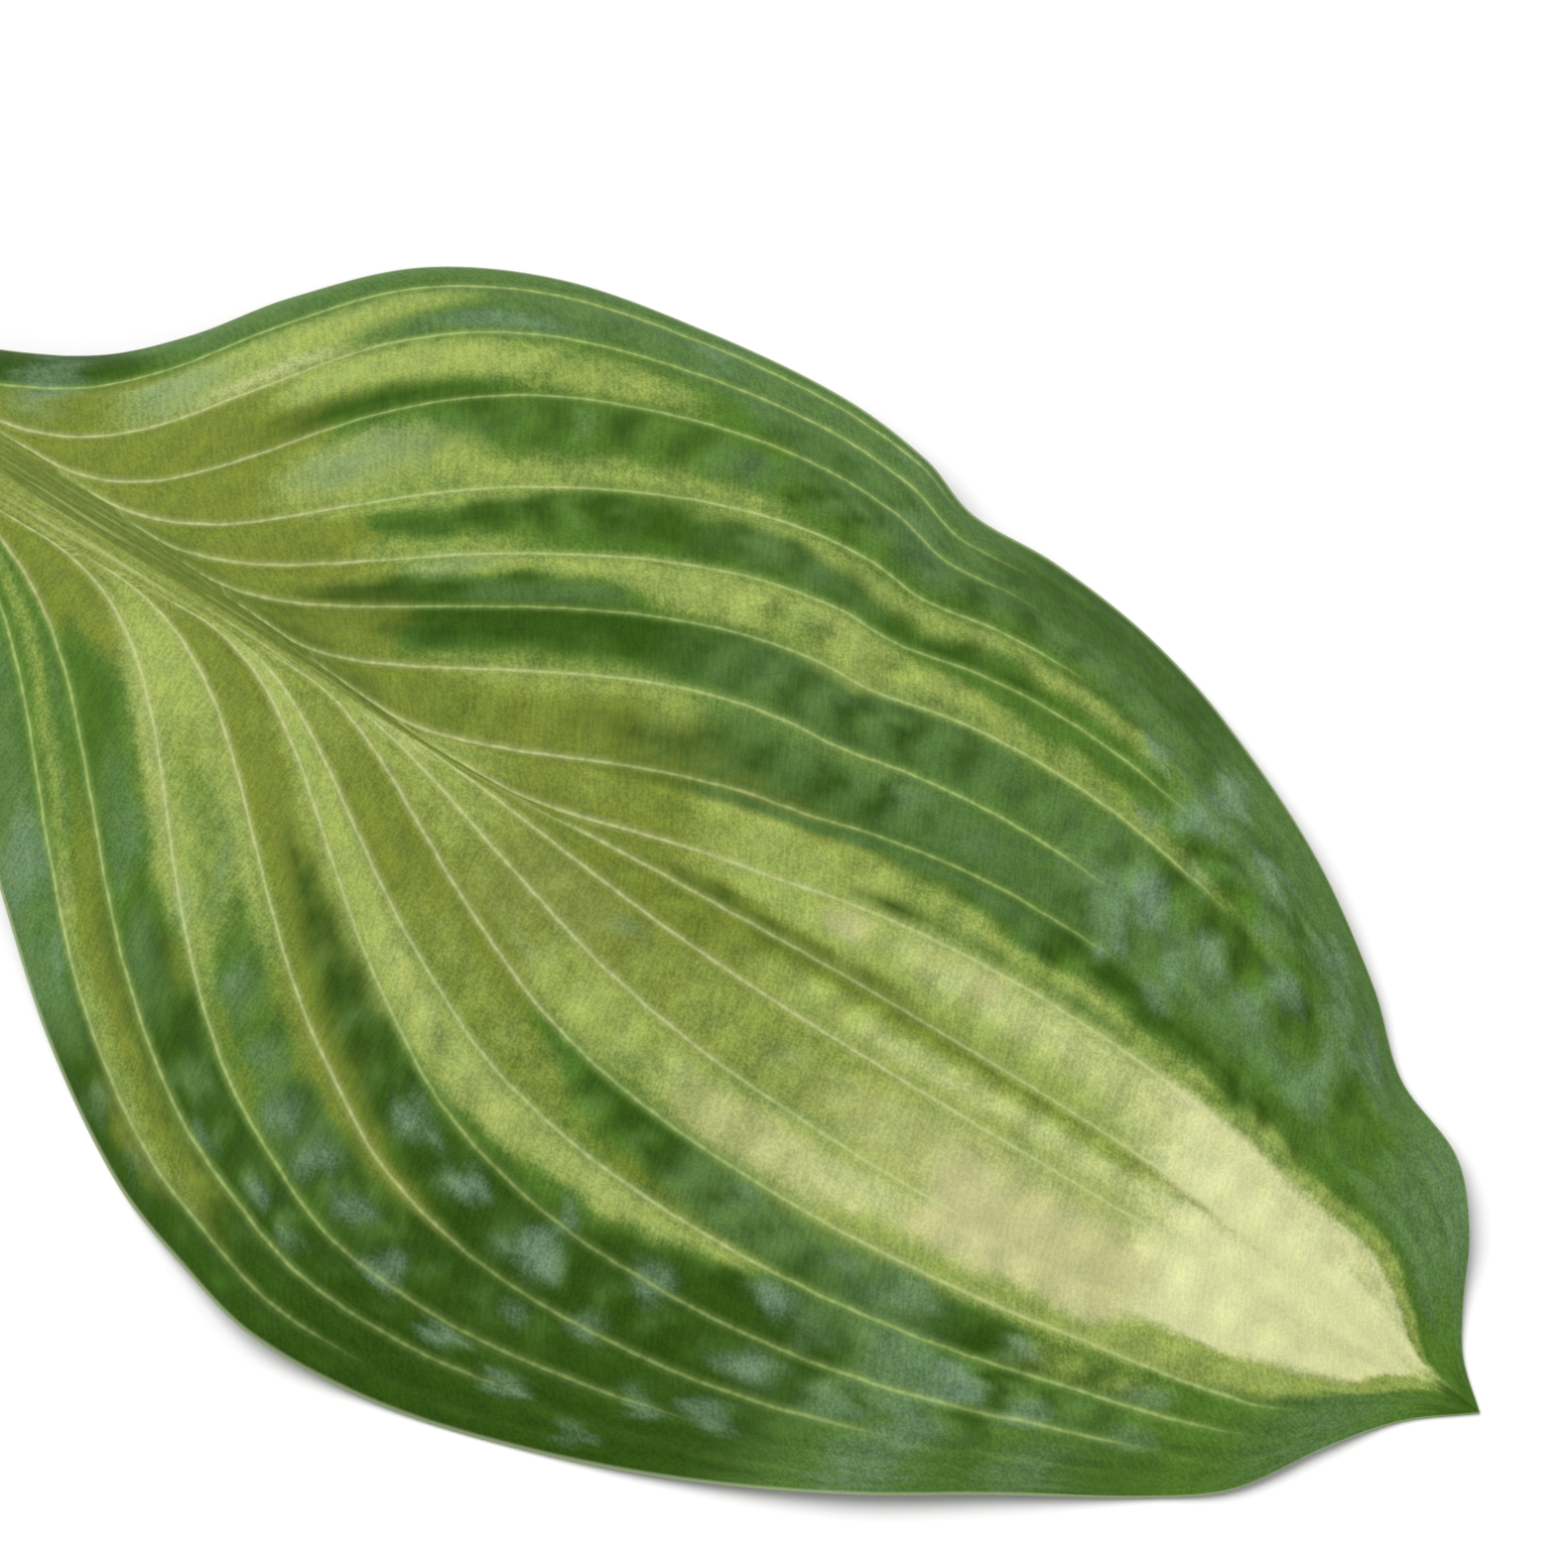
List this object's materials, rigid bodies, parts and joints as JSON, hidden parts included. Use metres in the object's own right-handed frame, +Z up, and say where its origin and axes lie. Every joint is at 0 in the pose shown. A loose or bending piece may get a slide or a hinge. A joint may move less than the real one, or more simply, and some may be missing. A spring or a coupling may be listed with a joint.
{
  "type": "hosta leaf",
  "caption": "Broad variegated hosta leaf on its cut petiole: ribbed blade with sunken veins, waved margin and a short drawn-out tip, arched and lying upper side up.",
  "frame": {"origin": "under the middle of the leaf's box, on the surface that it lies on", "axes": "+X from the cut end of the petiole to the tip of the blade, +Y to the leaf's left half, +Z up, out of the upper side"},
  "size_m": [0.3571, 0.1496, 0.0244],
  "materials": {
    "leaf": null
  },
  "bodies": {
    "root": {"hosta_leaf": "leaf"}
  },
  "joints": []
}
